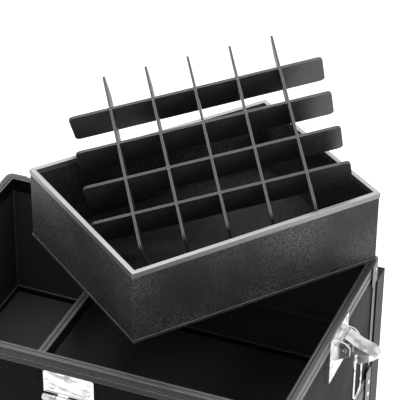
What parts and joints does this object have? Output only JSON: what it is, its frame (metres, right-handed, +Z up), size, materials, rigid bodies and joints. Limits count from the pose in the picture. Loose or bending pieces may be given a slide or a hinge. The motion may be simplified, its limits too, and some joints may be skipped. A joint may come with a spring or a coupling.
{
  "type": "makeup train case",
  "caption": "Black open-topped makeup train case section with partition, toggle latches and hasp, stacked on a wheeled trunk, with lift-out tray and egg-crate dividers.",
  "frame": {"origin": "centre of the trunk's flat underside", "axes": "+X along the case to its right end, +Y from front to back, +Z up"},
  "size_m": [0.442, 0.3595, 0.5631],
  "materials": {
    "case_board": "fine pebble-grain ABS skin over board, black",
    "tray_board": "fine pebble-grain skin over board, black",
    "divider_board": "smooth black board with paler cut edges",
    "dark_profile": "black anodised, brushed along its length",
    "guard_steel": "black lacquered steel",
    "bright_steel": "bright nickel plate",
    "fitting_steel": "zinc plated",
    "moulded_plastic": "black moulded plastic",
    "tyre_rubber": "black",
    "foot_rubber": "black"
  },
  "bodies": {
    "trunk": {"front_feet": "foot_rubber", "handle_grip": "moulded_plastic", "handle_tubes": "fitting_steel", "spine_housing": "moulded_plastic", "trunk_back_panel": "case_board", "trunk_base_profile": "dark_profile", "trunk_corner_guards": "guard_steel", "trunk_corner_posts": "dark_profile", "trunk_floor": "case_board", "trunk_front_panel": "case_board", "trunk_left_panel": "case_board", "trunk_right_panel": "case_board", "trunk_rim_profile": "dark_profile", "wheel_axles": "fitting_steel", "wheel_forks": "fitting_steel"},
    "case": {"case_back_panel": "case_board", "case_base_profile": "dark_profile", "case_corner_guards": "guard_steel", "case_corner_posts": "dark_profile", "case_floor": "case_board", "case_front_panel": "case_board", "case_left_panel": "case_board", "case_right_panel": "case_board", "case_rim_profile": "dark_profile", "hasp_pin": "bright_steel", "hasp_plate": "bright_steel", "hasp_rivets": "bright_steel", "latch_left_base": "bright_steel", "latch_left_pin": "bright_steel", "latch_left_rivets": "bright_steel", "latch_right_base": "bright_steel", "latch_right_pin": "bright_steel", "latch_right_rivets": "bright_steel", "partition_board": "case_board", "partition_cap": "dark_profile", "tray_ledges": "case_board"},
    "tray": {"tray_back_wall": "tray_board", "tray_floor": "tray_board", "tray_front_wall": "tray_board", "tray_left_wall": "tray_board", "tray_right_wall": "tray_board", "tray_rim_trim": "dark_profile"},
    "dividers": {"cross_divider_1": "divider_board", "cross_divider_2": "divider_board", "cross_divider_3": "divider_board", "cross_divider_4": "divider_board", "cross_divider_5": "divider_board", "long_divider_1": "divider_board", "long_divider_2": "divider_board", "long_divider_3": "divider_board", "long_divider_4": "divider_board"},
    "hasp_flap": {"hasp_flap": "bright_steel"},
    "latch_right_lever": {"latch_right_lever": "bright_steel"},
    "latch_right_bail": {"latch_right_bail": "bright_steel"},
    "latch_left_lever": {"latch_left_lever": "bright_steel"},
    "latch_left_bail": {"latch_left_bail": "bright_steel"},
    "wheel_left": {"hub_left": "moulded_plastic", "tyre_left": "tyre_rubber"},
    "wheel_right": {"hub_right": "moulded_plastic", "tyre_right": "tyre_rubber"}
  },
  "joints": [
    {"name": "case_lift", "type": "slide", "parent": "trunk", "child": "case", "axis": [0, 0, 1], "range_m": [0, 0.15]},
    {"name": "tray_lift", "type": "slide", "parent": "case", "child": "tray", "axis": [0, 0, 1], "range_m": [0, 0.12]},
    {"name": "dividers_lift", "type": "slide", "parent": "tray", "child": "dividers", "axis": [0, 0, 1], "range_m": [0, 0.12]},
    {"name": "hasp_swing", "type": "hinge", "parent": "case", "child": "hasp_flap", "pos_m": [-0.0069, -0.1252, 0.326], "axis": [-1, 0, 0], "range_deg": [0, 165]},
    {"name": "latch_right_lever_turn", "type": "hinge", "parent": "case", "child": "latch_right_lever", "pos_m": [0.193, 0.0115, 0.35], "axis": [0, 1, 0], "range_deg": [-20, 64]},
    {"name": "latch_right_bail_hang", "type": "hinge", "parent": "latch_right_lever", "child": "latch_right_bail", "pos_m": [0.2015, 0.0115, 0.344], "axis": [0, 1, 0], "range_deg": [-64, 20]},
    {"name": "latch_left_lever_turn", "type": "hinge", "parent": "case", "child": "latch_left_lever", "pos_m": [-0.193, 0.0115, 0.35], "axis": [0, -1, 0], "range_deg": [-20, 64]},
    {"name": "latch_left_bail_hang", "type": "hinge", "parent": "latch_left_lever", "child": "latch_left_bail", "pos_m": [-0.2015, 0.0115, 0.344], "axis": [0, -1, 0], "range_deg": [-64, 20]},
    {"name": "wheel_left_spin", "type": "hinge", "parent": "trunk", "child": "wheel_left", "pos_m": [-0.15, 0.108, -0.0185], "axis": [1, 0, 0], "continuous": true},
    {"name": "wheel_right_spin", "type": "hinge", "parent": "trunk", "child": "wheel_right", "pos_m": [0.15, 0.108, -0.0185], "axis": [1, 0, 0], "continuous": true}
  ],
  "couplings": [
    {"joint": "latch_right_bail_hang", "follows": "latch_right_lever_turn", "ratio": -1},
    {"joint": "latch_left_bail_hang", "follows": "latch_left_lever_turn", "ratio": -1}
  ]
}
